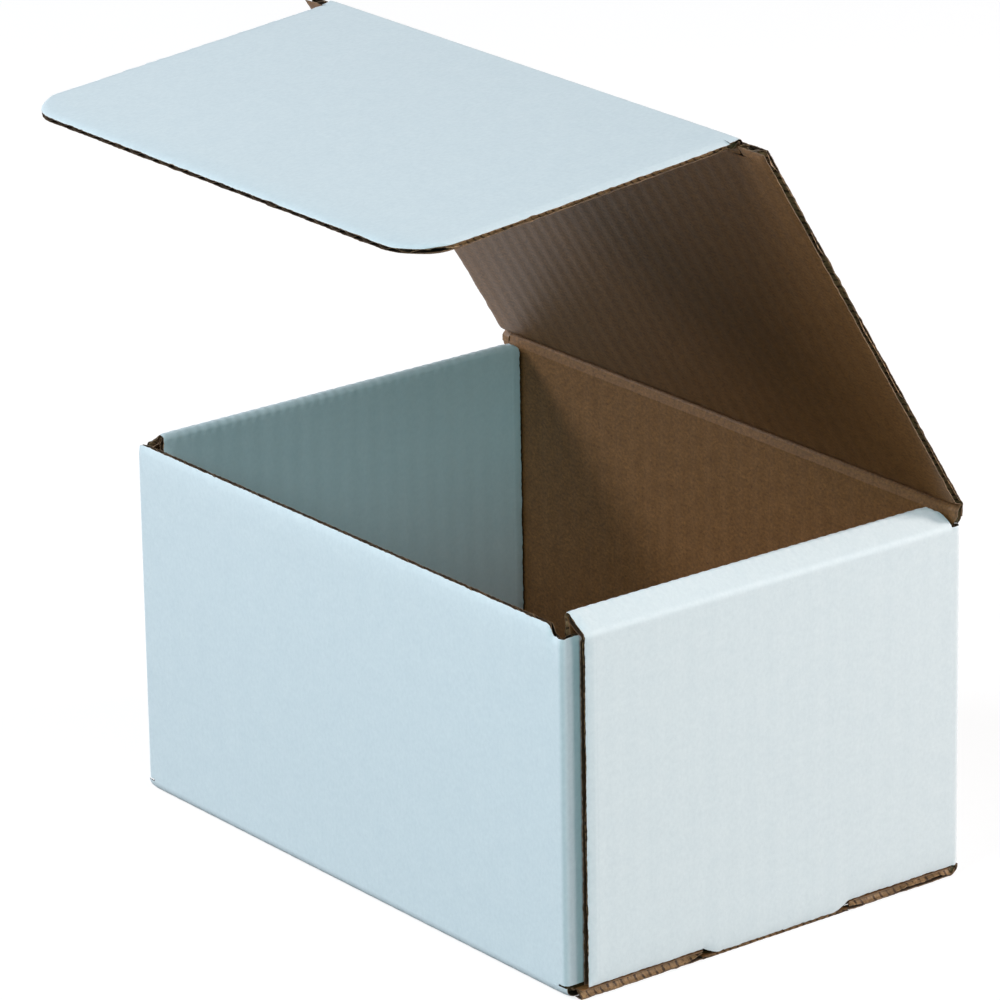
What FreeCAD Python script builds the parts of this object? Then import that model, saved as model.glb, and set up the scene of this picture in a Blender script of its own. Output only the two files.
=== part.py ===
"""One-piece corrugated mailer box, lid open, in millimetres.

The blank is one sheet of board. Back to front the box's column is tuck flap, lid, back wall, bottom and
front wall. The outer end panels are folded from the back wall, roll over at the top and come down again
inside, over the dust flaps of the front wall.
X runs along the front wall, Y from front to back and Z up. The origin is the middle of the underside.
"""
import FreeCAD
import Part
import math
import os
import Sketcher

SIZES = {
    "board": 2.8,            # thickness of the corrugated board
    "fold_inside": 0.3,      # radius left on the inner liner of a right-angled fold
    "outer_width": 196.0,    # over the two outer end panels
    "outer_depth": 134.0,    # over the front and the back wall
    "layer_gap": 0.3,        # air between the layers of an end wall
    "stand_gap": 0.3,        # air under the panels that stand on the bottom
    "fold_lip": 0.3,         # straight edge above the bottom folds where a panel is slit from them
    "front_height": 103.2,   # top edge of the front wall
    "dip_drop": 2.7,         # how far the front wall's top edge drops at its two ends
    "dip_length": 5.0,       # length of that slope
    "dust_length": 98.0,     # dust flaps, measured back from the front wall
    "end_setback": 5.4,      # front raw edge of the end panels behind the front wall's face
    "crease_height": 101.5,  # outer crease of the roll-over
    "roof_rise": 8.4,        # from that crease to the corner where the roof and inner panel lines meet
    "ridge_corner": 5.0,     # radius at the upper rear corner of the rolled-over panel
    "rear_gap": 0.6,         # inner end panel short of the back wall
    "tab_length": 50.0,      # locking tab on the lower edge of an end panel
    "tab_back": 2.5,         # middle of the tab behind the middle of the box
    "tab_corner": 2.2,       # radius of the tab's lower corners
    "notch_gap": 0.4,        # air round the tab in its notch
    "hinge_height": 107.3,   # lid crease, middle of the board
    "strip_drop": 5.8,       # depth of the straight strip under the lid crease, free of the end panels
    "lid_overhang": 0.7,     # lid past the end panels, each side
    "lid_length": 130.0,     # from the lid crease to the tuck crease
    "lid_corner": 1.2,       # radius at the lid's two front corners
    "crease_gap": 0.3,       # air in a crease between two panels that turn
    "tuck_length": 104.0,    # tuck flap, from its crease to its raw edge
    "tuck_clearance": 1.0,   # tuck flap short of the inner end panels, each side
    "tuck_corner": 14.0,     # radius of the tuck flap's front corners
    "tuck_limit": 120.0,     # furthest bend of the tuck crease, degrees
    "lid_angle": 58.8,       # lid above level as the box stands open, degrees
    "tuck_bend": 64.2,       # bend of the tuck crease as the box stands open, degrees
}

doc = FreeCAD.newDocument("MailerBox")
sheet = doc.addObject("Spreadsheet::Sheet", "Sizes")
for row, (alias, number) in enumerate(SIZES.items(), 1):
    sheet.set("A%d" % row, alias)
    sheet.set("B%d" % row, str(number))
    sheet.setAlias("B%d" % row, alias)
doc.recompute()


class Length:
    """A number together with the sheet expression that gives it."""

    def __init__(self, value, text):
        self.value = float(value)
        self.text = text

    def join(self, other, sign, value):
        other_text = other.text if isinstance(other, Length) else repr(float(other))
        return Length(value, "(%s %s %s)" % (self.text, sign, other_text))

    def __add__(self, other):
        return self.join(other, "+", self.value + number_of(other))

    def __sub__(self, other):
        return self.join(other, "-", self.value - number_of(other))

    def __mul__(self, other):
        return self.join(other, "*", self.value * number_of(other))

    def __truediv__(self, other):
        return self.join(other, "/", self.value / number_of(other))

    def __neg__(self):
        return Length(-self.value, "(0 - %s)" % self.text)


def number_of(item):
    return item.value if isinstance(item, Length) else float(item)


def size(alias):
    """The sheet's value of one alias."""
    return Length(sheet.get(alias), "Sizes.%s" % alias)


def sine(angle):
    return Length(math.sin(math.radians(angle.value)), "sin(%s * 1 deg)" % angle.text)


def cosine(angle):
    return Length(math.cos(math.radians(angle.value)), "cos(%s * 1 deg)" % angle.text)


ZERO = Length(0.0, "0")
board = size("board")
fold = board + size("fold_inside")            # outer radius of a fold
half_width = size("outer_width") / 2
half_depth = size("outer_depth") / 2
stand = board + size("stand_gap")             # lower edge of what stands on the bottom
dust_face = half_width - board - size("layer_gap")
inner_face = dust_face - board - size("layer_gap") - board
dust_top = size("front_height") - size("dip_drop")
lip_top = fold + size("fold_lip")             # upper edge of the slit bottom folds
dust_foot = lip_top + size("stand_gap")
end_front = size("end_setback") - half_depth
inner_rear = half_depth - board - size("rear_gap")
lid_half = half_width + size("lid_overhang")
hinge_height = size("hinge_height")
strip_foot = hinge_height - size("strip_drop")
hinge_y = half_depth - board / 2
tuck_half = inner_face - size("tuck_clearance")

PLANES = {
    "XY": FreeCAD.Rotation(),
    "XZ": FreeCAD.Rotation(FreeCAD.Vector(1, 0, 0), 90),
    "YZ": FreeCAD.Rotation(FreeCAD.Vector(0, 1, 0), FreeCAD.Vector(0, 0, 1), FreeCAD.Vector(1, 0, 0), "ZXY"),
}
THICKENED = {"XY": -board, "XZ": board, "YZ": -board}    # offset that lays the board left of a line
ALONG = {"X": FreeCAD.Vector(1, 0, 0), "Y": FreeCAD.Vector(0, 1, 0), "Z": FreeCAD.Vector(0, 0, 1)}


def rounded_corner(before, corner, after, radius):
    """Arc that rounds a corner: its centre, where it starts and where it ends."""
    back = (before - corner).normalize()
    on = (after - corner).normalize()
    half_angle = math.acos(max(-1.0, min(1.0, back.dot(on)))) / 2
    reach = radius / math.tan(half_angle)
    centre = corner + (back + on).normalize() * (radius / math.sin(half_angle))
    return centre, corner + back * reach, corner + on * reach


def draw(name, plane, corners, closed):
    """Sketch of straight runs through the corners, each rounded by its radius, every size from the sheet.

    A corner is (across, up) or (across, up, radius).
    """
    sketch = doc.addObject("Sketcher::SketchObject", name)
    sketch.Placement = FreeCAD.Placement(FreeCAD.Vector(), PLANES[plane])
    spots = [FreeCAD.Vector(corner[0].value, corner[1].value, 0) for corner in corners]
    count = len(corners)
    leave = list(spots)
    reach = list(spots)
    arcs = {}
    for n, corner in enumerate(corners):
        if len(corner) == 3:
            centre, start, end = rounded_corner(spots[n - 1], spots[n], spots[(n + 1) % count], corner[2].value)
            circle = Part.Circle(centre, FreeCAD.Vector(0, 0, 1), corner[2].value)
            clockwise = (start - centre).cross(end - centre).z < 0
            first, last = (end, start) if clockwise else (start, end)
            arcs[n] = (Part.ArcOfCircle(circle, circle.parameter(first), circle.parameter(last)), clockwise)
            reach[n] = start
            leave[n] = end
    runs = count if closed else count - 1
    lines = [sketch.addGeometry(Part.LineSegment(leave[n], reach[(n + 1) % count])) for n in range(runs)]
    add = sketch.addConstraint
    for n, corner in enumerate(corners):
        incoming = lines[n - 1] if closed or n else None
        outgoing = lines[n] if n < runs else None
        if n in arcs:
            arc, clockwise = arcs[n]
            bend = sketch.addGeometry(arc)
            near, far = (2, 1) if clockwise else (1, 2)
            add(Sketcher.Constraint("Tangent", incoming, 2, bend, near))
            add(Sketcher.Constraint("Tangent", bend, far, outgoing, 1))
            radius = add(Sketcher.Constraint("Radius", bend, corner[2].value))
            sketch.setExpression("Constraints[%d]" % radius, corner[2].text)
            point = sketch.addGeometry(Part.Point(spots[n]), True)
            add(Sketcher.Constraint("PointOnObject", point, 1, incoming))
            add(Sketcher.Constraint("PointOnObject", point, 1, outgoing))
            anchor = (point, 1)
        else:
            if incoming is not None and outgoing is not None:
                add(Sketcher.Constraint("Coincident", incoming, 2, outgoing, 1))
            anchor = (outgoing, 1) if outgoing is not None else (incoming, 2)
        for kind, axis, place in (("DistanceX", -2, corner[0]), ("DistanceY", -1, corner[1])):
            if abs(place.value) < 1e-9:
                add(Sketcher.Constraint("PointOnObject", anchor[0], anchor[1], axis))
            else:
                distance = add(Sketcher.Constraint(kind, -1, 1, anchor[0], anchor[1], place.value))
                sketch.setExpression("Constraints[%d]" % distance, place.text)
    return sketch


def extrude(name, base, along, start, end):
    """Solid of a closed sketch or face between two places along an axis."""
    solid = doc.addObject("Part::Extrusion", name)
    solid.Base = base
    solid.DirMode = "Custom"
    solid.Dir = ALONG[along]
    solid.Solid = True
    solid.setExpression("LengthFwd", end.text)
    solid.setExpression("LengthRev", (-start).text)
    return solid


def folded(name, plane, corners, along, start, end):
    """Board folded along an outer outline, one board thick to the left of the line as drawn."""
    line = draw(name + "_line", plane, corners, closed=False)
    band = doc.addObject("Part::Offset2D", name + "_section")
    band.Source = line
    band.Mode = "Skin"
    band.Fill = True
    band.setExpression("Value", THICKENED[plane].text)
    return extrude(name, band, along, start, end)


def flat(name, plane, corners, along, start, end):
    """Flat piece of board, or a cutter, with the given outline."""
    return extrude(name, draw(name + "_outline", plane, corners, closed=True), along, start, end)


def rod(name, radius, half_length, y, z):
    """Round crease roll along X."""
    bar = doc.addObject("Part::Cylinder", name)
    bar.setExpression("Radius", radius.text)
    bar.setExpression("Height", (half_length * 2).text)
    turn = FreeCAD.Rotation(FreeCAD.Vector(0, 1, 0), 90)
    bar.Placement = FreeCAD.Placement(FreeCAD.Vector(-half_length.value, y.value, z.value), turn)
    bar.setExpression("Placement.Base.x", (-half_length).text)
    bar.setExpression("Placement.Base.y", y.text)
    bar.setExpression("Placement.Base.z", z.text)
    return bar


def cut(name, base, tool):
    result = doc.addObject("Part::Cut", name)
    result.Base = base
    result.Tool = tool
    return result


def mirrored(name, source):
    """Copy on the other side of the box's middle plane."""
    result = doc.addObject("Part::Mirroring", name)
    result.Source = source
    result.Normal = FreeCAD.Vector(1, 0, 0)
    return result


def fused(name, pieces):
    result = doc.addObject("Part::MultiFuse", name)
    result.Shapes = pieces
    result.Refine = True
    return result


def column():
    """Front wall, bottom and back wall, one strip with two folds, as wide as the flat of the front wall."""
    flat_half = dust_face - fold
    strip = folded("column", "YZ", [
        (-half_depth, size("front_height")),
        (-half_depth, ZERO, fold),
        (half_depth, ZERO, fold),
        (half_depth, hinge_height),
    ], "X", -flat_half, flat_half)
    slope_start = flat_half - size("dip_length")
    over = size("front_height") + board
    slope = flat("dip", "XZ", [
        (slope_start, size("front_height")),
        (flat_half, dust_top),
        (flat_half + board, dust_top),
        (flat_half + board, over),
        (slope_start, over),
    ], "Y", -half_depth - board, board * 2 - half_depth)
    return cut("column_end", cut("column_dipped", strip, slope), mirrored("dip_left", slope))


def bottom_margins():
    """Full width of the bottom, with its folds, and the notches for the locking tabs."""
    end = half_width - fold
    folds = folded("bottom_folds", "YZ", [
        (-half_depth, lip_top),
        (-half_depth, ZERO, fold),
        (half_depth, ZERO, fold),
        (half_depth, lip_top),
    ], "X", -end, end)
    reach = half_depth - fold
    notch_in = half_width - board - size("notch_gap")
    notch_half = size("tab_length") / 2 + size("notch_gap")
    notch_front = size("tab_back") - notch_half
    notch_rear = size("tab_back") + notch_half
    panel = flat("bottom_panel", "XY", [
        (-half_width, -reach),
        (half_width, -reach),
        (half_width, notch_front),
        (notch_in, notch_front),
        (notch_in, notch_rear),
        (half_width, notch_rear),
        (half_width, reach),
        (-half_width, reach),
        (-half_width, notch_rear),
        (-notch_in, notch_rear),
        (-notch_in, notch_front),
        (-half_width, notch_front),
    ], "Z", ZERO, board)
    return [folds, panel]


def back_corners():
    """Back wall folded into the end panels at its two vertical corners."""
    stub = half_depth - fold * 3
    return folded("back_corners", "XY", [
        (half_width, stub),
        (half_width, half_depth, fold),
        (-half_width, half_depth, fold),
        (-half_width, stub),
    ], "Z", stand, size("crease_height") - size("stand_gap"))


def dust_flaps():
    """Front wall folded into the dust flaps, which lie inside the outer end panels."""
    end = size("dust_length") - half_depth
    return folded("dust_flaps", "XY", [
        (-dust_face, end),
        (-dust_face, -half_depth, fold),
        (dust_face, -half_depth, fold),
        (dust_face, end),
    ], "Z", dust_foot, dust_top)


def end_wall():
    """Outer end panel, sloping roof and inner end panel, with the locking tab."""
    roof_top = size("crease_height") + size("roof_rise")
    rolled = folded("roll", "XZ", [
        (half_width, stand),
        (half_width, size("crease_height"), fold),
        (inner_face, roof_top, fold),
        (inner_face, stand),
    ], "Y", end_front, inner_rear)
    radius = size("ridge_corner")
    inside = inner_face - board
    over = roof_top + board
    block = flat("ridge_block", "YZ", [
        (inner_rear - radius, hinge_height - radius * 1.4),
        (inner_rear + board, hinge_height - radius * 1.4),
        (inner_rear + board, over),
        (inner_rear - radius, over),
    ], "X", inside, half_width - fold)
    keep = doc.addObject("Part::Cylinder", "ridge_round")
    keep.setExpression("Radius", radius.text)
    keep.setExpression("Height", (half_width - inside).text)
    keep.Placement = FreeCAD.Placement(FreeCAD.Vector(), FreeCAD.Rotation(FreeCAD.Vector(0, 1, 0), 90))
    keep.setExpression("Placement.Base.x", inside.text)
    keep.setExpression("Placement.Base.y", (inner_rear - radius).text)
    keep.setExpression("Placement.Base.z", (hinge_height - radius * 1.4).text)
    rounded = cut("roll_rounded", rolled, cut("ridge_cutter", block, keep))
    half_tab = size("tab_length") / 2
    tab = flat("tab", "YZ", [
        (size("tab_back") - half_tab, stand + board),
        (size("tab_back") - half_tab, ZERO, size("tab_corner")),
        (size("tab_back") + half_tab, ZERO, size("tab_corner")),
        (size("tab_back") + half_tab, stand + board),
    ], "X", half_width - board, half_width)
    return fused("end_wall", [rounded, tab])


def hinge_strip():
    """Straight strip of back wall above the end panels, ending in the lid crease."""
    strip = flat("hinge_strip", "YZ", [
        (half_depth - board, strip_foot),
        (half_depth, strip_foot),
        (half_depth, hinge_height),
        (half_depth - board, hinge_height),
    ], "X", -lid_half, lid_half)
    return [strip, rod("lid_crease", board / 2, lid_half, hinge_y, hinge_height)]


def tray():
    """Everything that stays put, one folded solid."""
    wall = end_wall()
    pieces = [column(), back_corners(), dust_flaps(), wall, mirrored("end_wall_left", wall)]
    return fused("tray", pieces + bottom_margins() + hinge_strip())


def lid():
    """Lid panel, drawn level with its crease on the X axis and its front towards -Y."""
    half = board / 2
    front = size("lid_length")
    panel = flat("lid_panel", "XY", [
        (-lid_half, -(half + size("crease_gap"))),
        (-lid_half, -front, size("lid_corner")),
        (lid_half, -front, size("lid_corner")),
        (lid_half, -(half + size("crease_gap"))),
    ], "Z", -half, half)
    return fused("lid", [panel, rod("tuck_crease", half, tuck_half, -front, ZERO)])


def tuck_flap():
    """Tuck flap, drawn level with its crease on the X axis; its end is bevelled so that it can fold in."""
    half = board / 2
    inside = Length(180.0, "180") - size("tuck_limit")
    outer_start = (half + size("crease_gap") - half * cosine(inside)) / sine(inside)
    inner_start = (half + size("crease_gap") + half * cosine(inside)) / sine(inside)
    end = size("tuck_length")
    profile = flat("tuck_profile", "YZ", [
        (-end, -half),
        (-inner_start, -half),
        (-outer_start, half),
        (-end, half),
    ], "X", -tuck_half, tuck_half)
    outline = flat("tuck_outline", "XY", [
        (-tuck_half, ZERO),
        (-tuck_half, -end, size("tuck_corner")),
        (tuck_half, -end, size("tuck_corner")),
        (tuck_half, ZERO),
    ], "Z", -half, half)
    flap = doc.addObject("Part::Common", "tuck_flap")
    flap.Base = profile
    flap.Tool = outline
    return flap


def turned(y, z, angle):
    """Placement of a level panel whose crease lies at y, z and whose front is raised by an angle."""
    return FreeCAD.Placement(FreeCAD.Vector(0, y, z), FreeCAD.Rotation(FreeCAD.Vector(-1, 0, 0), angle))


parts = {"tray": tray(), "lid": lid(), "tuck_flap": tuck_flap()}
parts["tray"].Placement = FreeCAD.Placement()
lid_angle = size("lid_angle").value
parts["lid"].Placement = turned(hinge_y.value, hinge_height.value, lid_angle)
tuck_crease = parts["lid"].Placement.multVec(FreeCAD.Vector(0, -size("lid_length").value, 0))
parts["tuck_flap"].Placement = turned(tuck_crease.y, tuck_crease.z, lid_angle - size("tuck_bend").value)
for node, item in parts.items():
    item.Label = node
doc.recompute()

faults = [item.Name for item in doc.Objects if "Invalid" in item.State or "Error" in item.State]
for node, item in parts.items():
    if item.Shape.isNull() or not item.Shape.isValid() or len(item.Shape.Solids) != 1:
        faults.append(node)
if faults:
    raise RuntimeError("not built: %s" % ", ".join(faults))

os.makedirs("parts", exist_ok=True)
for node, item in parts.items():
    item.Shape.exportStep("parts/%s.step" % node)
    box = item.Shape.BoundBox
    print("%s: %.0f cubic mm, x %.1f to %.1f, y %.1f to %.1f, z %.1f to %.1f" % (
        node, item.Shape.Volume, box.XMin, box.XMax, box.YMin, box.YMax, box.ZMin, box.ZMax))
print("tuck crease at y %.3f, z %.3f" % (tuck_crease.y, tuck_crease.z))
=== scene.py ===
"""Looks of the open corrugated mailer box.

Every board is what it is in reality: a white-coated outer liner, a fluted medium and a kraft inner liner.
Lengths are in millimetres and angles in degrees until a mesh, lamp or camera is made, which is in metres.
A panel is laid out flat first: u runs across the flutes and v along them, both in the plane of the blank,
and w is the depth under the outer face. An outline then folds it into its place.
"""
import bpy
import math
import numpy as np
from mathutils import Matrix, Vector

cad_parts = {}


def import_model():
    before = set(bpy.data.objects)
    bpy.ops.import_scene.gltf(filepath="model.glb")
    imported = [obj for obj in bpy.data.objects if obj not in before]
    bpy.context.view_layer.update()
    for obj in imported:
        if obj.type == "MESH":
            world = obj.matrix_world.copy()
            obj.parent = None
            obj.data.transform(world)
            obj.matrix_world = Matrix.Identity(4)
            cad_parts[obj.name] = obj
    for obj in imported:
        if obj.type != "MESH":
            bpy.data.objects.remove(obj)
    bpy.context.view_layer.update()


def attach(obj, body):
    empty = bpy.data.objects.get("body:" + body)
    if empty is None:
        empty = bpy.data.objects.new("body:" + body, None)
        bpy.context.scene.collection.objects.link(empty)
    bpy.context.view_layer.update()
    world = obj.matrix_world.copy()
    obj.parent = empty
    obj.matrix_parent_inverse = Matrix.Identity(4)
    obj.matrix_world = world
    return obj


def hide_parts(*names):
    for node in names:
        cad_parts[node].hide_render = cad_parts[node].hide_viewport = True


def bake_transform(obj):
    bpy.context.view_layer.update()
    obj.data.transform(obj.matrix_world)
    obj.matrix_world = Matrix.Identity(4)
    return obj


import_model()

MM = 0.001

# Box sizes: the solids' own, or read again from the photo where a fold or a cut edge needed it
BOARD = 2.8
FOLD = 3.1                 # from a fold's corner to where the flat board begins
CRISP = 1.7                # outer radius of a fold, smaller than the board because the fold is crushed
HALF_WIDTH = 98.0
HALF_DEPTH = 67.0
PANEL_FOOT = 3.1           # lower edge of what stands on the bottom
HAIR = 0.001               # straight board left past a fold that ends its outline
DUST_FACE = 94.9
INNER_FACE = 89.0
FRONT_HEIGHT = 103.2
DUST_TOP = 100.5
DUST_FOOT = 3.7
DUST_END = 31.0
DIP_RIGHT = (88.6, 90.8)   # where the front wall's top edge drops, from its middle
DIP_LEFT = (93.4, 96.4)
END_FRONT = -61.6          # front raw edge of the end panels
END_REAR = 63.6            # rear raw edge of the roof and inner panel
ROOF_LAP = 0.4             # how far the rear corner's top runs on under the roof
CREASE_HEIGHT = 101.5
CORNER_TOP = 101.2
ROOF_RISE = 5.85
ROOF_FOLD = 2.3
RIDGE_CORNER = 3.6
RIDGE_TOP = 105.9
TAB_MIDDLE = 2.5
TAB_HALF = 25.0
TAB_DROP = 2.2             # how far the tab reaches down below the panel's foot
TAB_SHOULDER = 4.5         # length of each of its sloping shoulders
NOTCH_GAP = 0.4
BOTTOM_SETBACK = 0.4       # bottom's side edges behind the end panels' faces
PRESSED_ROOM = 0.9         # room under a locking tab for the board it has pressed flat in its notch
PRESSED_SETBACK = 0.5      # side edge of that board behind the end panel's face
LID_HALF = 98.7
LID_LENGTH = 130.0
TUCK_HALF = 88.0
TUCK_LENGTH = 104.0
TUCK_CORNER = 15.0
SLIT = 0.3                 # cut between the tuck flap and the lid's front corners
STRIP_FOOT = 101.5         # lower edge of the strip that carries the lid crease
STRIP_HALF = HALF_WIDTH - 2 * FOLD
STRIP_TAPER = 1.8          # how much narrower the strip is at its foot
STRIP_TAPER_LENGTH = 4.5
LID_ANGLE = 58.8
TUCK_BEND = 64.2
HINGE = (65.6, 107.3)      # lid crease, y and z

# Board structure
LINER = 0.28
MEDIUM = 0.22
PITCH = 6.76               # flute to flute
COLUMNS_PER_FLUTE = 12
OUTER_RIBS = 0.035         # how far the white liner sinks between the flute tips
INNER_RIBS = 0.09          # and the kraft liner
RIDGE_RIBS = 0.2           # how deep the flutes mark the ridge
TOOTH = 2.3                # pitch of the serrated cutting rule
TOOTH_DEPTH = 0.10
CREASE_REACH = 3.7         # half width of the board that bends at a hinge crease
FOLD_FADE = 1.6            # how far beside a fold the board is crushed
CRUSH_ROOM = 0.92          # thickness of the board in a crushed fold, as a share of the fold's radius
NO_CRUSH = 2 * BOARD       # radius of a bend that is listed for its dense rows alone
SEAM = 99.0                # height at which the lower and the upper panels meet

# Cut edges
PRESSED = 2.6              # how far behind a cut the board is pressed
LIP = 0.9                  # how far behind it that is strongest
MOST_PRESSED = 0.6         # greatest share of the thickness that is lost there
TORN = 3.0                 # how far behind a cut the paper is ragged
TORN_FADE = 0.8
DRIFT_FADE = 1.5           # how far behind a cut a flute is pushed sideways
MEDIUM_BACK = 0.12         # how far the medium stays behind the liners
INNER_SHIFT = 97.0         # places along the same ragged line from which the other layers are cut
MEDIUM_SHIFT = 311.0
CALM_LENGTH = 9.0          # how much of a calm edge is left whole at its start
CALM_GAP = 20.0            # how far from a cut that stretch counts as
FAR = 99.0                 # gap where no cut is near

# Grid
EDGE_STEPS = np.array([0.0, 0.35, 0.9, 1.7, 2.6])
ROW_STEP = 9.0
BEND_STEP = 0.6
LEAST_STEP = 0.12
BAND = 3.4                 # width of the dense band along a raw side
BAND_LAP = 0.6             # how far the sparser middle runs on under the band
LAP_SINK = 0.06            # how deep the end of that lap lies under the band
REACH = 34.0               # how far an outline's change of shape fades into the panel
MOUTH = 12.0               # how deep the flutes are made behind an edge across them

# What a face is made of, as a number in its sheet; the third is painted shade, kraft made dark for the
# recesses inside the flutes
COAT, KRAFT, HOLLOW_SHADE, CUT_LINER, CORE = range(5)

random = np.random.default_rng(4)


class Outline:
    """Outer face of folded board in one plane: straight runs and arcs, with the board on their left."""

    def __init__(self, corners):
        points = [np.array(corner[:2], float) for corner in corners]
        radii = [corner[2] if len(corner) == 3 else 0.0 for corner in corners]
        headings = [math.atan2(*(b - a)[::-1]) for a, b in zip(points, points[1:])]
        turns = [0.0] + [(b - a) % (2 * math.pi) for a, b in zip(headings, headings[1:])] + [0.0]
        self.runs = []
        self.bends = []
        reach = 0.0
        for n, heading in enumerate(headings):
            before = radii[n] * math.tan(turns[n] / 2)
            after = radii[n + 1] * math.tan(turns[n + 1] / 2)
            forward = np.array([math.cos(heading), math.sin(heading)])
            straight = np.linalg.norm(points[n + 1] - points[n]) - before - after
            self.runs.append((reach, straight, points[n] + forward * before, heading, 0.0))
            reach += straight
            if radii[n + 1]:
                arc = radii[n + 1] * turns[n + 1]
                start = points[n + 1] - forward * after
                self.runs.append((reach, arc, start, heading, radii[n + 1]))
                self.bends.append((reach, reach + arc, radii[n + 1]))
                reach += arc
        self.length = reach

    def at(self, along):
        """Points and inward normals at the given lengths along the outline."""
        point = np.zeros(along.shape + (2,))
        normal = np.zeros(along.shape + (2,))
        for n, (reach, length, start, heading, radius) in enumerate(self.runs):
            here = np.ones(along.shape, bool) if n == 0 else along >= reach
            step = (along - reach)[here]
            if radius:
                angle = heading + step / radius
                centre = start + radius * np.array([-math.sin(heading), math.cos(heading)])
                left = np.stack([-np.sin(angle), np.cos(angle)], -1)
                point[here] = centre - radius * left
            else:
                left = np.broadcast_to([-math.sin(heading), math.cos(heading)], step.shape + (2,))
                point[here] = start + step[..., None] * np.array([math.cos(heading), math.sin(heading)])
            normal[here] = left
        return point, normal


def folder(outline, plane, across_is_along, offset=0.0, flip=1.0):
    """Function that puts (u, v, w) in space.

    across_is_along: the outline follows u, so the flutes stand across the plane of the outline.
    offset and flip turn u into a place: along the outline, or on the axis that the plane leaves free.
    """
    def place(u, v, w):
        across = offset + flip * u
        along, free = (across, v) if across_is_along else (v, across)
        point, normal = outline.at(along)
        a = point[..., 0] + normal[..., 0] * w
        b = point[..., 1] + normal[..., 1] * w
        order = {"XY": (a, b, free), "YZ": (free, a, b), "XZ": (a, free, b)}[plane]
        return np.stack(order, -1)
    return place


def wander(step, size, reach=4000.0):
    """Random curve: a function of length whose value stays near zero."""
    knots = np.arange(-reach, reach, step)
    values = random.normal(0.0, size, knots.size)
    return lambda t: np.interp(t, knots, values)


jag = wander(1.1, 0.045)         # ragged cut
jag_fine = wander(0.4, 0.05)
drift = wander(6.0, 0.7)         # how a flute drifts sideways at a cut
pressure = wander(3.1, 0.20)     # how hard a cut edge is pressed


def teeth(t):
    """Scallops that the cutting rule leaves, with the raggedness of paper."""
    return np.maximum(TOOTH_DEPTH * np.abs(np.sin(math.pi * t / TOOTH)) + jag(t) + jag_fine(t), 0.0)


def medium_depth(u, phase=0.0):
    """Middle of the fluted medium."""
    room = BOARD / 2 - LINER - MEDIUM / 2
    return BOARD / 2 + room * np.cos(2 * math.pi * u / PITCH + phase)


def washboard(u, side):
    """0 at the flute tips that hold a liner, 1 between; side is -1 for the outer liner, 1 for the inner."""
    return (1 + side * np.cos(2 * math.pi * u / PITCH)) / 2


class Sheet:
    """Mesh of one panel group, as it grows."""

    def __init__(self):
        self.points = []
        self.flat = []
        self.faces = []
        self.kinds = []
        self.count = 0

    def surface(self, points, u, v, kind, turned):
        """Grid of quads; turned gives the other facing."""
        rows, columns = u.shape
        index = self.count + np.arange(rows * columns).reshape(rows, columns)
        quads = np.stack([index[:-1, :-1], index[1:, :-1], index[1:, 1:], index[:-1, 1:]], -1).reshape(-1, 4)
        self.faces.append(quads[:, ::-1] if turned else quads)
        self.kinds.append(np.full(len(quads), kind))
        self.points.append(points.reshape(-1, 3))
        self.flat.append(np.stack([u, v], -1).reshape(-1, 2))
        self.count += rows * columns
        return index

    def rim(self, front, back, kind, turned):
        """Strip of quads that closes a layer along one edge."""
        quads = np.stack([front[:-1], front[1:], back[1:], back[:-1]], -1)
        self.faces.append(quads[:, ::-1] if turned else quads)
        self.kinds.append(np.full(len(quads), kind))

    def close(self, upper, lower, kind, raw, turned):
        """Rims between two surfaces of one layer, along each raw edge."""
        edges = {
            "left": (upper[0], lower[0], turned),
            "right": (upper[-1], lower[-1], not turned),
            "low": (upper[:, 0], lower[:, 0], not turned),
            "high": (upper[:, -1], lower[:, -1], turned),
        }
        for name in raw:
            front, back, flip = edges[name]
            self.rim(front, back, kind, flip)

    def make(self, name):
        mesh = bpy.data.meshes.new(name)
        points = np.concatenate(self.points) * MM
        faces = np.concatenate(self.faces)
        mesh.from_pydata(points.tolist(), [], faces.tolist())
        mesh.polygons.foreach_set("material_index", np.concatenate(self.kinds).astype(np.int32))
        for material in (coat, kraft, hollow_shade, torn, medium):
            mesh.materials.append(material)
        flat = np.concatenate(self.flat) * MM
        corners = np.zeros(len(mesh.loops), np.int32)
        mesh.loops.foreach_get("vertex_index", corners)
        layer = mesh.uv_layers.new(name="blank")
        layer.data.foreach_set("uv", flat[corners].astype(np.float32).ravel())
        mesh.shade_smooth()
        mesh.set_sharp_from_angle(angle=math.radians(40))
        piece = bpy.data.objects.new(name, mesh)
        bpy.context.collection.objects.link(piece)
        return piece


def spaced(start, end, step):
    return np.linspace(start, end, max(2, int(round((end - start) / step)) + 1))


def divisions(start, end, step, raw_start, raw_end, extra=()):
    """Places of the grid lines between two edges, closer at raw edges and bends."""
    places = [spaced(start, end, step)]
    if raw_start:
        places.append(start + EDGE_STEPS)
    if raw_end:
        places.append(end - EDGE_STEPS)
    for first, last in extra:
        places.append(spaced(first, last, BEND_STEP))
    kept = [start]
    for spot in np.sort(np.concatenate(places)):
        if spot - kept[-1] > LEAST_STEP and end - spot > LEAST_STEP:
            kept.append(spot)
    return np.array(kept + [end])


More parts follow.
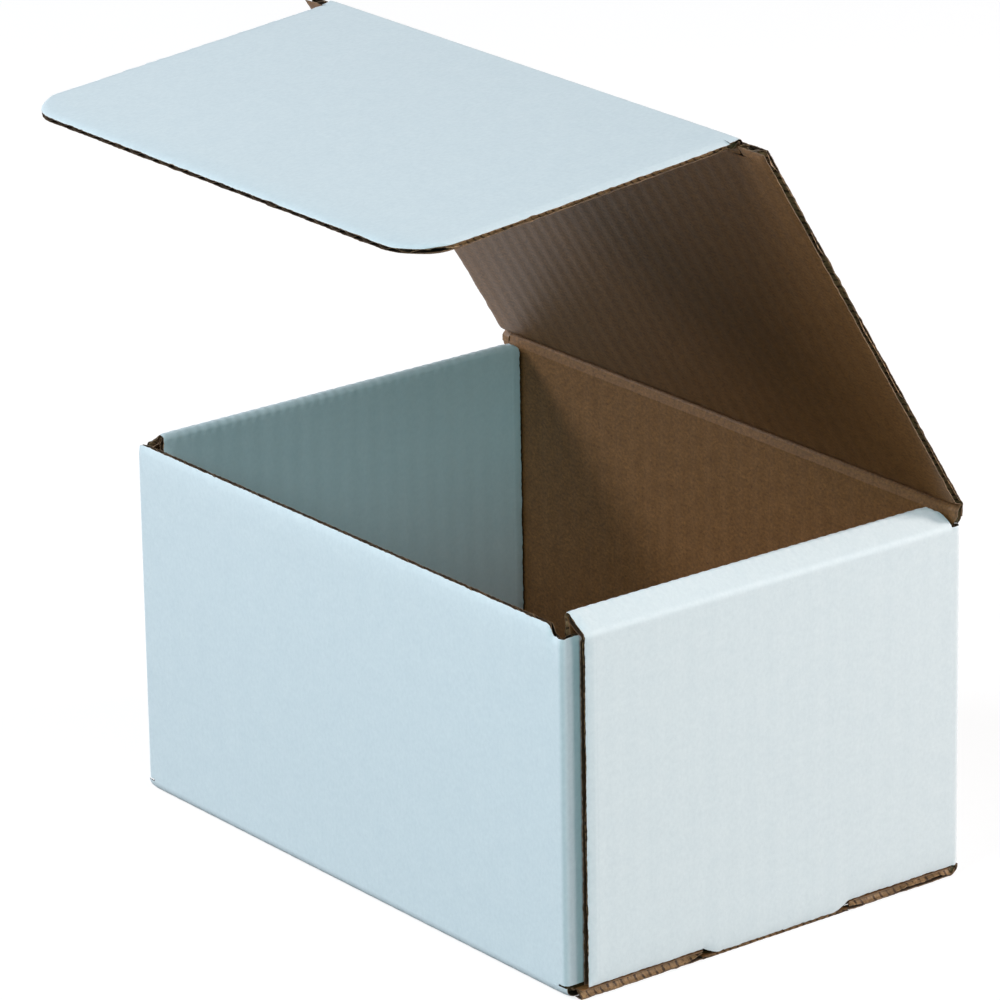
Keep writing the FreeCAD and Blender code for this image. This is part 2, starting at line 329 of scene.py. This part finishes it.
def panel(sheet, place, u_range, v_range, raw=(), bends=(), corners=(), low=None, high=None, left=None,
          right=None, turned=False, tooth_step=TOOTH / 4, crush=0.3, ripple=0.0, calm=False):
    """Board between two u and two v values: three layers, raw edges cut with teeth.

    bends are the folds across the flutes and corners those along them: where each starts, ends, its radius.
    low, high, left and right shift those edges by a function of the place along them.
    ripple is how deep the flutes mark the last bend. calm leaves the start of the left edge uncut.
    """
    u_start, u_end = u_range
    v_start, v_end = v_range
    bent = [(max(a - FOLD_FADE, v_start), min(b + FOLD_FADE, v_end)) for a, b, _ in bends]
    dense = divisions(v_start, v_end, tooth_step, "low" in raw, "high" in raw, bent)
    sparse = divisions(v_start, v_end, ROW_STEP, "low" in raw, "high" in raw)
    for first, last in bent:
        outside = (sparse < first) | (sparse > last)
        inside = (dense >= first) & (dense <= last)
        sparse = np.union1d(sparse[outside], dense[inside])
    raw_sides = tuple(name for name in ("left", "right") if name in raw)
    wide = u_end - u_start > 2 * BAND
    middle_start, middle_end = u_start, u_end
    blocks = []
    if "left" in raw and wide:
        middle_start = u_start + BAND
        blocks.append((u_start, middle_start, ("left",)))
    if "right" in raw and wide:
        middle_end = u_end - BAND
        blocks.append((middle_end, u_end, ("right",)))
    lap_start = middle_start - BAND_LAP if middle_start > u_start else u_start
    lap_end = middle_end + BAND_LAP if middle_end < u_end else u_end
    blocks.append((lap_start, lap_end, () if wide else raw_sides))
    for start, end, sides in blocks:
        rows = dense if sides else sparse
        columns = divisions(start, end, PITCH / COLUMNS_PER_FLUTE, "left" in sides, "right" in sides)
        u, v = np.meshgrid(columns, rows, indexing="ij")
        block = Block(u, v, u_range, v_range, raw, (low, high, left, right), calm)
        block.press(corners, bends, crush, ripple)
        block.under[0] = 0.0 if sides or start == u_start else LAP_SINK
        block.under[-1] = 0.0 if sides or end == u_end else LAP_SINK
        block.build(sheet, place, cut_parts(rows, sides, raw, v_start, v_end), turned)


def cut_parts(rows, sides, raw, v_start, v_end):
    """Rows of a block where the layers between its faces are made, each with the raw edges there."""
    ends = tuple(name for name in ("low", "high") if name in raw)
    if sides or v_end - v_start < 2 * MOUTH:
        return [(slice(None), sides + ends)] if sides + ends else []
    parts = []
    if "low" in raw:
        parts.append((slice(0, int(np.searchsorted(rows, v_start + MOUTH)) + 1), ("low",)))
    if "high" in raw:
        parts.append((slice(int(np.searchsorted(rows, v_end - MOUTH)) - 1, None), ("high",)))
    return parts


def fold_fade(along, folds):
    """0 in the folds, 1 away from them."""
    fade = np.ones(along.shape)
    for start, end, _ in folds:
        beside = np.clip(np.maximum(start - along, along - end) / FOLD_FADE, 0, 1)
        fade = np.minimum(fade, beside * beside * (3 - 2 * beside))
    return fade


def crushed(along, folds):
    """Share of the board's thickness that the folds leave, so that the inner face fits inside them."""
    left = np.ones(along.shape)
    for fold in folds:
        room = min(1.0, CRUSH_ROOM * fold[2] / BOARD)
        left = np.minimum(left, room + (1 - room) * fold_fade(along, [fold]))
    return left


class Block:
    """Grid over part of a panel, with the shape that its three layers share."""

    def __init__(self, u, v, u_range, v_range, raw, shifts, calm):
        low, high, left, right = shifts
        width = u_range[1] - u_range[0]
        height = v_range[1] - v_range[0]
        self.raw = raw
        self.gaps = {
            "low": v - v_range[0],
            "high": v_range[1] - v,
            "left": u - u_range[0],
            "right": u_range[1] - u,
        }
        if calm:
            self.gaps["left"] += CALM_GAP * np.clip(1 - self.gaps["low"] / CALM_LENGTH, 0, 1)
        self.gap = np.full(u.shape, FAR)
        for name in raw:
            self.gap = np.minimum(self.gap, self.gaps[name])
        self.v = v + self.shifted("low", low, u, height) + self.shifted("high", high, u, height)
        self.u = u + self.shifted("left", left, v, width) + self.shifted("right", right, v, width)
        self.under = np.zeros(u.shape)

    def shifted(self, edge, shift, along, room):
        """How far one edge's change of shape moves the grid, fading into the panel."""
        if shift is None:
            return 0.0
        return shift(along) * np.clip(1 - self.gaps[edge] / min(REACH, room), 0, 1)

    def press(self, corners, bends, crush, ripple):
        """Thickness lost at the raw edges and in the folds, and the ribs on the last bend."""
        near = 0.5 * np.exp(-self.gap / LIP) + 0.5 * np.clip(1 - self.gap / PRESSED, 0, 1)
        uneven = crush + 0.3 * pressure(self.u + 1.7 * self.v)
        self.squeeze = 1 - near * np.clip(uneven, 0.0, MOST_PRESSED)
        self.flat = np.minimum(crushed(self.u, corners), crushed(self.v, bends))
        self.ripple = ripple * (1 - fold_fade(self.v, bends[-1:]))

    def cut(self, shift, back):
        """The grid with ragged raw edges; shift and back make one layer's cut differ from another's."""
        u, v = self.u.copy(), self.v.copy()
        fade = np.exp(-self.gap / TORN_FADE)
        pulls = {
            "low": (v, self.u, 1),
            "high": (v, self.u, -1),
            "left": (u, self.v, 1),
            "right": (u, self.v, -1),
        }
        for name in self.raw:
            moved, along, way = pulls[name]
            moved += way * fade * (self.gaps[name] < TORN) * (back + teeth(along + shift))
        return u, v

    def depth(self, w):
        """Depth under the outer face once the edges and creases are crushed."""
        middle = BOARD / 2
        return (middle + (w - middle) * self.squeeze) * self.flat

    def build(self, sheet, place, parts, turned):
        """Both faces over the whole grid, and what lies between them in the parts near raw edges."""
        u, v = self.cut(0.0, 0.0)
        ripple = self.ripple * np.cos(2 * math.pi * u / PITCH) ** 2
        sink = OUTER_RIBS * washboard(u, -1) + ripple + self.under
        outer = sheet.surface(place(u, v, self.depth(sink)), u, v, COAT, turned)
        outer_back = (place(u, v, self.depth(sink + LINER)), u, v)
        u, v = self.cut(INNER_SHIFT, 0.0)
        rise = BOARD - INNER_RIBS * washboard(u, 1) - self.under
        inner = sheet.surface(place(u, v, self.depth(rise)), u, v, KRAFT, not turned)
        inner_back = (place(u, v, self.depth(rise - LINER)), u, v)
        u, v = self.cut(MEDIUM_SHIFT, MEDIUM_BACK)
        core = medium_depth(u, drift(v + u[0, 0]) * np.exp(-self.gap / DRIFT_FADE))
        core_over = (place(u, v, self.depth(core - MEDIUM / 2)), u, v)
        core_under = (place(u, v, self.depth(core + MEDIUM / 2)), u, v)
        for rows, edges in parts:
            def partly(layer, kind, flip):
                points, across, along = layer
                return sheet.surface(points[:, rows], across[:, rows], along[:, rows], kind, flip)

            # Away from a side cut the medium's faces get the painted shade of the flutes' recess
            core_kind = CORE if "left" in edges or "right" in edges else HOLLOW_SHADE
            sheet.close(outer[:, rows], partly(outer_back, HOLLOW_SHADE, not turned), CUT_LINER, edges, turned)
            top = partly(core_over, core_kind, turned)
            sheet.close(top, partly(core_under, core_kind, not turned), CORE, edges, turned)
            sheet.close(partly(inner_back, HOLLOW_SHADE, turned), inner[:, rows], CUT_LINER, edges, turned)


# Materials

def principled(name, roughness, specular):
    material = bpy.data.materials.new(name)
    material.use_nodes = True
    tree = material.node_tree
    shader = tree.nodes["Principled BSDF"]
    shader.inputs["Roughness"].default_value = roughness
    shader.inputs["Specular IOR Level"].default_value = specular
    return material, tree, shader


def flat_coordinates(tree, stretch_u, stretch_v):
    """Place on the flat blank, in metres times a stretch each way."""
    uv = tree.nodes.new("ShaderNodeUVMap")
    uv.uv_map = "blank"
    mapping = tree.nodes.new("ShaderNodeMapping")
    mapping.inputs["Scale"].default_value = (stretch_u, stretch_v, 1.0)
    tree.links.new(uv.outputs["UV"], mapping.inputs["Vector"])
    return mapping.outputs["Vector"]


def noise(tree, vector, scale, detail=4.0, roughness=0.6):
    node = tree.nodes.new("ShaderNodeTexNoise")
    node.inputs["Scale"].default_value = scale
    node.inputs["Detail"].default_value = detail
    node.inputs["Roughness"].default_value = roughness
    tree.links.new(vector, node.inputs["Vector"])
    return node.outputs["Fac"]


def ramp(tree, value, stops):
    """Colour ramp; stops are (place, colour)."""
    node = tree.nodes.new("ShaderNodeValToRGB")
    elements = node.color_ramp.elements
    while len(elements) < len(stops):
        elements.new(0.5)
    for element, (place, colour) in zip(elements, stops):
        element.position = place
        element.color = (*colour, 1.0)
    tree.links.new(value, node.inputs["Fac"])
    return node.outputs["Color"]


def multiplied(tree, first, second):
    node = tree.nodes.new("ShaderNodeMix")
    node.data_type = "RGBA"
    node.blend_type = "MULTIPLY"
    node.inputs["Factor"].default_value = 1.0
    tree.links.new(first, node.inputs["A"])
    tree.links.new(second, node.inputs["B"])
    return node.outputs["Result"]


def calculated(tree, operation, *terms):
    """Result of a sum on sockets and plain numbers."""
    node = tree.nodes.new("ShaderNodeMath")
    node.operation = operation
    for socket, term in zip(node.inputs, terms):
        if isinstance(term, float):
            socket.default_value = term
        else:
            tree.links.new(term, socket)
    return node.outputs["Value"]


def bump(tree, shader, height, distance, strength):
    node = tree.nodes.new("ShaderNodeBump")
    node.inputs["Distance"].default_value = distance
    node.inputs["Strength"].default_value = strength
    tree.links.new(height, node.inputs["Height"])
    tree.links.new(node.outputs["Normal"], shader.inputs["Normal"])


def white_coat():
    """Clay-coated white liner: even, faintly mottled, with a fine paper grain."""
    material, tree, shader = principled("white_coat", roughness=0.62, specular=0.1)
    cloudy = noise(tree, flat_coordinates(tree, 1.0, 1.0), scale=160.0)
    tone = ramp(tree, cloudy, [(0.3, (0.680, 0.764, 0.800)), (0.7, (0.706, 0.786, 0.818))])
    grain = noise(tree, flat_coordinates(tree, 1.0, 0.7), scale=900.0, detail=6.0, roughness=0.7)
    speck = ramp(tree, grain, [(0.32, (0.935, 0.940, 0.945)), (0.66, (1.015, 1.012, 1.010))])
    tree.links.new(multiplied(tree, tone, speck), shader.inputs["Base Color"])
    bump(tree, shader, grain, distance=0.00004, strength=0.35)
    return material


def tooth_pit_shade(tree):
    """Painted shade in the pits along a cut, one to each tooth of the cutting rule, darker where a pit is
    deeper.
    """
    place = flat_coordinates(tree, 1.0, 1.0)
    split = tree.nodes.new("ShaderNodeSeparateXYZ")
    tree.links.new(place, split.inputs["Vector"])
    turn = calculated(tree, "MULTIPLY", split.outputs["Y"], 2 * math.pi / (TOOTH * MM))
    wave = calculated(tree, "SINE", turn)
    depth = calculated(tree, "MULTIPLY_ADD", wave, 0.26, noise(tree, place, scale=620.0))
    return ramp(tree, depth, [(0.62, (1.0, 1.0, 1.0)), (0.76, (0.2, 0.16, 0.13))])


def kraft_paper(name, dark, light, fleck, pit_shaded=False):
    """Plain brown paper: fine fibres, darker flecks and cloudy formation, with painted shade of pits if it
    shows at a cut.
    """
    material, tree, shader = principled(name, roughness=0.52, specular=0.5)
    cloudy = noise(tree, flat_coordinates(tree, 1.0, 1.0), scale=210.0, detail=5.0)
    tone = ramp(tree, cloudy, [(0.3, dark), (0.7, light)])
    fibres = noise(tree, flat_coordinates(tree, 0.8, 1.0), scale=1150.0, detail=6.0, roughness=0.75)
    streak = ramp(tree, fibres, [(0.34, (0.50, 0.48, 0.46)), (0.66, (1.36, 1.36, 1.36))])
    specks = noise(tree, flat_coordinates(tree, 0.7, 1.0), scale=900.0, detail=2.0)
    spot = ramp(tree, specks, [(0.27, fleck), (0.34, (1.0, 1.0, 1.0))])
    colour = multiplied(tree, tone, streak)
    if pit_shaded:
        colour = multiplied(tree, colour, tooth_pit_shade(tree))
    tree.links.new(multiplied(tree, colour, spot), shader.inputs["Base Color"])
    bump(tree, shader, fibres, distance=0.00006, strength=0.5)
    return material


coat = white_coat()
# Kraft liner: its own brown made darker still, as painted shade for the inside of the box that this face
# always looks into
kraft = kraft_paper("kraft_liner_and_painted_shade", (0.158, 0.071, 0.020), (0.206, 0.096, 0.030), (0.6, 0.55, 0.5))
# Painted shade: kraft made much darker for the liner backs and the medium seen inside the flutes at a cut,
# where there is only shade
hollow_shade = kraft_paper("flute_hollow_painted_shade", (0.050, 0.031, 0.018), (0.080, 0.050, 0.030), (0.6, 0.55, 0.5))
medium = kraft_paper("kraft_medium", (0.175, 0.104, 0.046), (0.360, 0.220, 0.105), (0.5, 0.45, 0.4),
                     pit_shaded=True)
torn = kraft_paper("cut_liner", (0.075, 0.041, 0.020), (0.250, 0.146, 0.076), (0.4, 0.35, 0.3))


# Panels

def back_and_ends():
    """Back wall and both outer end panels, folded at the two vertical rear corners."""
    outline = Outline([
        (HALF_WIDTH, END_FRONT),
        (HALF_WIDTH, HALF_DEPTH, CRISP),
        (-HALF_WIDTH, HALF_DEPTH, CRISP),
        (-HALF_WIDTH, END_FRONT),
    ])
    half = outline.length / 2
    place = folder(outline, "XY", True, offset=half, flip=-1.0)
    tab = end_place(half, TAB_MIDDLE)

    def foot(u):
        """Lower edge: the locking tab reaches down into its notch, with sloping shoulders."""
        beside = np.abs(np.abs(u) - tab)
        return -TAB_DROP * np.clip((TAB_HALF - beside) / TAB_SHOULDER, 0, 1) ** 0.7

    sheet = Sheet()
    corners = [(half - end, half - start, radius) for start, end, radius in outline.bends]
    panel(sheet, place, (-half, half), (PANEL_FOOT, SEAM), raw=("left", "right", "low"), corners=corners,
          low=foot, turned=True)
    for side in (-1, 1):
        ends = sorted((side * end_place(half, END_REAR - ROOF_LAP), side * STRIP_HALF))
        panel(sheet, place, tuple(ends), (SEAM, CORNER_TOP), raw=("high",), corners=corners, turned=True)
    return sheet.make("back_and_end_panels"), half


def end_place(half, y):
    """u of a place on an end panel."""
    return half + END_FRONT - y


def front_and_dust():
    """Front wall and both dust flaps, folded at the two vertical front corners."""
    outline = Outline([
        (-DUST_FACE, DUST_END),
        (-DUST_FACE, -HALF_DEPTH, CRISP),
        (DUST_FACE, -HALF_DEPTH, CRISP),
        (DUST_FACE, DUST_END),
    ])
    half = outline.length / 2
    place = folder(outline, "XY", True, offset=half)
    wall = DUST_FACE - FOLD

    def top(u):
        start = np.where(u > 0, DIP_RIGHT[0], DIP_LEFT[0])
        end = np.where(u > 0, DIP_RIGHT[1], DIP_LEFT[1])
        over = np.clip((np.abs(u) - start) / (end - start), 0, 1)
        return (DUST_TOP - FRONT_HEIGHT) * over * over * (3 - 2 * over)

    sheet = Sheet()
    panel(sheet, place, (-wall, wall), (PANEL_FOOT, DUST_FOOT))
    corners = [(start - half, end - half, radius) for start, end, radius in outline.bends]
    panel(sheet, place, (-half, half), (DUST_FOOT, FRONT_HEIGHT), raw=("left", "right", "high"),
          corners=corners, high=top, tooth_step=5.0, crush=0.5)
    return sheet.make("front_wall_and_dust_flaps")


def bottom():
    """Bottom panel with its front and rear folds and the two notches."""
    top = PANEL_FOOT + HAIR
    outline = Outline([
        (-HALF_DEPTH, top),
        (-HALF_DEPTH, 0.0, FOLD),
        (HALF_DEPTH, 0.0, FOLD),
        (HALF_DEPTH, top),
    ])
    place = folder(outline, "YZ", False)
    edge = HALF_WIDTH - BOARD - NOTCH_GAP
    middle = outline.length / 2
    front_fold_end = middle - HALF_DEPTH + FOLD
    notch = (middle + TAB_MIDDLE - TAB_HALF - NOTCH_GAP, middle + TAB_MIDDLE + TAB_HALF + NOTCH_GAP)
    sheet = Sheet()
    panel(sheet, place, (-edge, edge), (0.0, outline.length), raw=("left", "right"), bends=outline.bends)
    for along in ((front_fold_end, notch[0]), (notch[1], outline.length)):
        for side, name in ((-1, "left"), (1, "right")):
            across = tuple(sorted((side * edge, side * (HALF_WIDTH - BOTTOM_SETBACK))))
            panel(sheet, place, across, along, raw=("low", "high", name), bends=outline.bends, crush=0.08)
    for side, name in ((-1, "left"), (1, "right")):
        across = tuple(sorted((side * edge, side * (HALF_WIDTH - PRESSED_SETBACK))))
        panel(sheet, place, across, notch, raw=(name,), bends=[(*notch, PRESSED_ROOM)], crush=0.0)
    return sheet.make("bottom_panel")


def roll_over(side, half):
    """Roof and inner panel of one end wall, rounded at the rear of the ridge; side is 1 or -1."""
    outline = Outline([
        (HALF_WIDTH, SEAM),
        (HALF_WIDTH, CREASE_HEIGHT, ROOF_FOLD),
        (INNER_FACE, CREASE_HEIGHT + ROOF_RISE, CRISP),
        (INNER_FACE, PANEL_FOOT),
    ])
    fold_right = folder(outline, "XZ", False, offset=half + END_FRONT, flip=-1.0)

    def place(u, v, w):
        return fold_right(u, v, w) * np.array([side, 1.0, 1.0])

    def rounding(v):
        """How far the rear raw edge draws in towards the ridge; it stays just short of level."""
        point, _ = outline.at(v)
        height = np.clip((point[..., 1] - RIDGE_TOP + RIDGE_CORNER) / RIDGE_CORNER, 0, 0.97)
        return RIDGE_CORNER * (1 - np.sqrt(1 - height ** 2))

    ridge_start, ridge_end, _ = outline.bends[1]
    rounded = (ridge_start - RIDGE_CORNER, ridge_end + RIDGE_CORNER, NO_CRUSH)
    sheet = Sheet()
    panel(sheet, place, (end_place(half, END_REAR), end_place(half, END_FRONT)), (0.0, outline.length),
          raw=("left", "right", "high"), bends=[rounded] + outline.bends, left=rounding, turned=side > 0,
          ripple=RIDGE_RIBS, calm=True)
    return sheet.make("roll_over_right" if side > 0 else "roll_over_left")


class Column:
    """Back wall's top, lid and tuck flap in one plane, with the two creases between them."""

    def __init__(self):
        def heading(degrees):
            return np.array([-math.cos(math.radians(degrees)), math.sin(math.radians(degrees))])

        def outer(axis, a, b):
            return axis + BOARD / 2 * (a + b) / (1 + a @ b)

        self.ways = [np.array([0.0, 1.0]), heading(LID_ANGLE), heading(LID_ANGLE - TUCK_BEND)]
        outward = [np.array([way[1], -way[0]]) for way in self.ways]
        self.hinge = np.array(HINGE)
        self.tuck = self.hinge + self.ways[1] * LID_LENGTH
        first = outer(self.hinge, outward[0], outward[1])
        second = outer(self.tuck, outward[1], outward[2])
        end = self.tuck + self.ways[2] * TUCK_LENGTH + BOARD / 2 * outward[2]
        self.outline = Outline([(HALF_DEPTH, SEAM), (*first, BOARD / 2), (*second, BOARD / 2), tuple(end)])
        self.bends = self.outline.bends
        self.place = folder(self.outline, "YZ", False)
        lid_crease, tuck_crease = [(start + end) / 2 for start, end, _ in self.bends]
        self.strip_end = lid_crease - CREASE_REACH
        self.lid_start = lid_crease + CREASE_REACH
        self.lid_end = tuck_crease - CREASE_REACH
        self.flap_start = tuck_crease + CREASE_REACH


def hinge_strip(column):
    """Top of the back wall, and the two wings that carry the lid crease past the end panels."""
    low = STRIP_FOOT - SEAM

    def taper(v):
        return STRIP_TAPER * np.clip(1 - (v - low) / STRIP_TAPER_LENGTH, 0, 1) ** 2

    def back_taper(v):
        return -taper(v)

    sheet = Sheet()
    wing = (low, column.strip_end)
    panel(sheet, column.place, (-STRIP_HALF, STRIP_HALF), (0.0, column.strip_end))
    panel(sheet, column.place, (-LID_HALF, -STRIP_HALF), wing, raw=("low", "left"), left=taper)
    panel(sheet, column.place, (STRIP_HALF, LID_HALF), wing, raw=("low", "right"), right=back_taper)
    return sheet.make("hinge_strip")


def lid_crease(column):
    sheet = Sheet()
    panel(sheet, column.place, (-LID_HALF, LID_HALF), (column.strip_end, column.lid_start),
          raw=("left", "right"), bends=column.bends[:1])
    return sheet.make("lid_crease")


def lid_board(column):
    """Lid, with the two front corners that stand beside the tuck crease."""
    sheet = Sheet()
    board = (column.lid_start, column.lid_end)
    corner = (column.lid_end, column.bends[1][0])
    panel(sheet, column.place, (-LID_HALF, LID_HALF), board, raw=("left", "right"))
    for side in (-1, 1):
        across = tuple(sorted((side * (TUCK_HALF + SLIT), side * LID_HALF)))
        panel(sheet, column.place, across, corner, raw=("left", "right", "high"))
    return sheet.make("lid_board")


def tuck_crease(column):
    sheet = Sheet()
    panel(sheet, column.place, (-TUCK_HALF, TUCK_HALF), (column.lid_end, column.flap_start),
          raw=("left", "right"), bends=column.bends[1:])
    return sheet.make("tuck_crease")


def tuck_flap(column):
    """Deep flap with two rounded corners."""
    def front(u):
        beyond = np.clip(np.abs(u) - (TUCK_HALF - TUCK_CORNER), 0, TUCK_CORNER)
        return np.sqrt(TUCK_CORNER ** 2 - beyond ** 2) - TUCK_CORNER

    sheet = Sheet()
    panel(sheet, column.place, (-TUCK_HALF, TUCK_HALF), (column.flap_start, column.outline.length),
          raw=("left", "right", "high"), high=front, crush=0.55)
    return sheet.make("tuck_flap_board")


def across_crease(axis, before, after, bend):
    """Start and end in metres of the board that bends at a crease: its two edges."""
    reach = CREASE_REACH - (bend[1] - bend[0]) / 2
    start = axis - before * reach
    end = axis + after * reach
    return (0.0, start[0] * MM, start[1] * MM), (0.0, end[0] * MM, end[1] * MM)


walls, half_length = back_and_ends()
tray_pieces = [walls, front_and_dust(), bottom(), roll_over(1, half_length), roll_over(-1, half_length)]
column = Column()
strip = hinge_strip(column)
lid_fold = lid_crease(column)
lid = lid_board(column)
tuck_fold = tuck_crease(column)
flap = tuck_flap(column)
for piece in tray_pieces + [strip]:
    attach(piece, "tray")
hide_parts("tray")
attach(lid, "lid")
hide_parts("lid")
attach(flap, "tuck_flap")
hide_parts("tuck_flap")
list(across_crease(column.hinge, *column.ways[:2], column.bends[0]))
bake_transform(lid_fold)
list(across_crease(column.tuck, *column.ways[1:], column.bends[1]))
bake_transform(tuck_fold)


# Camera, floor and light

CAMERA_PLACE = (1.3119, -1.0213, 0.6961)
CAMERA_AZIMUTH = 52.458
CAMERA_ELEVATION = 19.811
CAMERA_ROLL = -0.957
FOCAL_LENGTH = 233.5
SENSOR = 36.0
FLOOR_HALF = 12.0
FLOOR_DROP = 0.0002
FLOOR_LIFT = 0.81          # glow that only the camera and reflections see, so that the floor reads as white
AMBIENT = 0.01
TARGET = (0.0, 0.0, 0.08)


def camera():
    azimuth = math.radians(CAMERA_AZIMUTH)
    elevation = math.radians(CAMERA_ELEVATION)
    roll = math.radians(CAMERA_ROLL)
    back = Vector((math.sin(azimuth) * math.cos(elevation), -math.cos(azimuth) * math.cos(elevation),
                   math.sin(elevation)))
    right = Vector((math.cos(azimuth), math.sin(azimuth), 0.0))
    up = back.cross(right)
    tilted_right = right * math.cos(roll) + up * math.sin(roll)
    tilted_up = up * math.cos(roll) - right * math.sin(roll)
    data = bpy.data.cameras.new("camera")
    data.sensor_width = SENSOR
    data.lens = FOCAL_LENGTH
    data.clip_end = 50.0
    item = bpy.data.objects.new("camera", data)
    item.matrix_world = Matrix.Translation(CAMERA_PLACE) @ Matrix(
        (tilted_right, tilted_up, back)).transposed().to_4x4()
    bpy.context.collection.objects.link(item)
    bpy.context.scene.camera = item


def seen_directly(tree):
    """1 for rays from the camera and for reflections, 0 for the light that falls on things."""
    path = tree.nodes.new("ShaderNodeLightPath")
    return calculated(tree, "MAXIMUM", path.outputs["Is Camera Ray"], path.outputs["Is Glossy Ray"])


def floor():
    """Pale floor that reads as white and keeps a soft shadow."""
    mesh = bpy.data.meshes.new("floor")
    corners = [(x * FLOOR_HALF, y * FLOOR_HALF, 0) for x, y in ((-1, -1), (1, -1), (1, 1), (-1, 1))]
    mesh.from_pydata(corners, [], [(0, 1, 2, 3)])
    material, tree, shader = principled("floor", roughness=0.9, specular=0.1)
    shader.inputs["Base Color"].default_value = (0.25, 0.255, 0.26, 1.0)
    shader.inputs["Emission Color"].default_value = (1.0, 1.0, 1.0, 1.0)
    lift = calculated(tree, "MULTIPLY", seen_directly(tree), FLOOR_LIFT)
    tree.links.new(lift, shader.inputs["Emission Strength"])
    mesh.materials.append(material)
    item = bpy.data.objects.new("floor", mesh)
    item.location.z = -FLOOR_DROP
    bpy.context.collection.objects.link(item)


def lamp(name, place, size, power, colour):
    """Round lamp that points at the middle of the box."""
    data = bpy.data.lights.new(name, "AREA")
    data.shape = "DISK"
    data.size = size
    data.energy = power
    data.color = colour
    item = bpy.data.objects.new(name, data)
    item.location = place
    item.rotation_mode = "QUATERNION"
    item.rotation_quaternion = (Vector(TARGET) - Vector(place)).to_track_quat("-Z", "Y")
    bpy.context.collection.objects.link(item)


def world():
    """Even dim light from all round; what the camera and reflections see of it is white."""
    surroundings = bpy.data.worlds.new("world")
    surroundings.use_nodes = True
    tree = surroundings.node_tree
    seen = tree.nodes["Background"]
    seen.inputs["Color"].default_value = (1.0, 1.0, 1.0, 1.0)
    light = tree.nodes.new("ShaderNodeBackground")
    light.inputs["Color"].default_value = (0.9, 0.97, 1.0, 1.0)
    light.inputs["Strength"].default_value = AMBIENT
    mix = tree.nodes.new("ShaderNodeMixShader")
    tree.links.new(seen_directly(tree), mix.inputs["Fac"])
    tree.links.new(light.outputs["Background"], mix.inputs[1])
    tree.links.new(seen.outputs["Background"], mix.inputs[2])
    tree.links.new(mix.outputs["Shader"], tree.nodes["World Output"].inputs["Surface"])
    bpy.context.scene.world = surroundings


camera()
floor()
lamp("side_front", (1.7, -0.6, 0.7), 0.8, 7.3, (0.46, 0.94, 0.98))
lamp("side_rear", (1.5, 1.0, 0.6), 0.6, 11.5, (1.0, 0.82, 0.82))
lamp("rear", (0.95, 1.5, 0.6), 0.5, 31.0, (1.0, 0.87, 0.81))
lamp("front", (0.2, -1.4, 1.2), 0.9, 18.5, (0.88, 0.96, 1.0))
lamp("left", (-1.3, -1.1, 1.1), 0.6, 24.0, (0.89, 0.93, 1.0))
world()
bpy.context.scene.view_settings.view_transform = "Standard"
